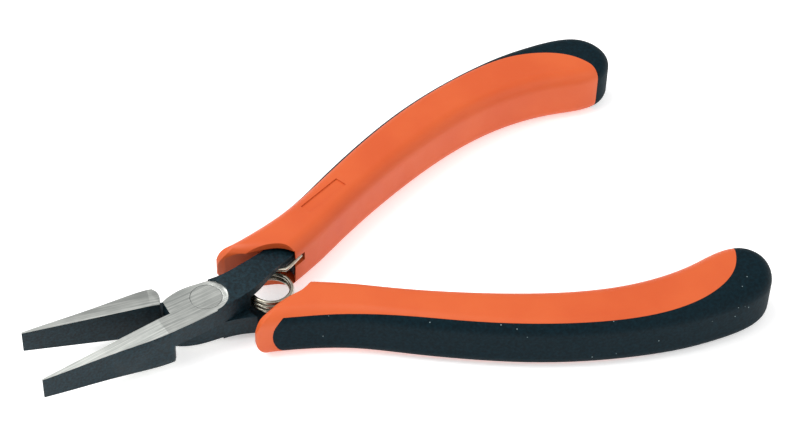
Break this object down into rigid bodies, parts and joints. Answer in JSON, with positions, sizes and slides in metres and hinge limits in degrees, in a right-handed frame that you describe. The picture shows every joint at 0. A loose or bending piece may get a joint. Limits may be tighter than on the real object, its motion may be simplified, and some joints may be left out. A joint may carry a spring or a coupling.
{
  "type": "flat nose pliers",
  "caption": "Small flat nose pliers for jewellery work: half-lapped forged levers on a rivet, a coil return spring and curved two-part grips.",
  "frame": {"origin": "on the pivot axis, halfway through the thickness of the joint", "axes": "+X runs along the centre line from the pivot to the grips, +Z is the pivot axis, upwards as the pliers lie flat, +Y is to the left looking along +X"},
  "size_m": [0.1172, 0.0706, 0.0098],
  "materials": {
    "phosphated_steel": "black phosphate over forged tool steel, ground bright on the head and jaws",
    "rivet_steel": "ground flush",
    "spring_steel": "drawn bright",
    "orange_shell": "satin moulded",
    "soft_rubber": "fine moulded, matt"
  },
  "bodies": {
    "bottom_half": {"bottom_lever": "phosphated_steel", "pivot_rivet": "rivet_steel", "return_spring": "spring_steel", "bottom_grip_shell": "orange_shell", "bottom_grip_cushion": "soft_rubber"},
    "top_half": {"top_lever": "phosphated_steel", "top_grip_shell": "orange_shell", "top_grip_cushion": "soft_rubber"}
  },
  "joints": [
    {"name": "pivot", "type": "hinge", "parent": "bottom_half", "child": "top_half", "pos_m": [0, 0, 0], "axis": [0, 0, 1], "range_deg": [-20, 10], "stiffness_Nm_per_rad": 0.35, "deforming": ["return_spring"]}
  ]
}
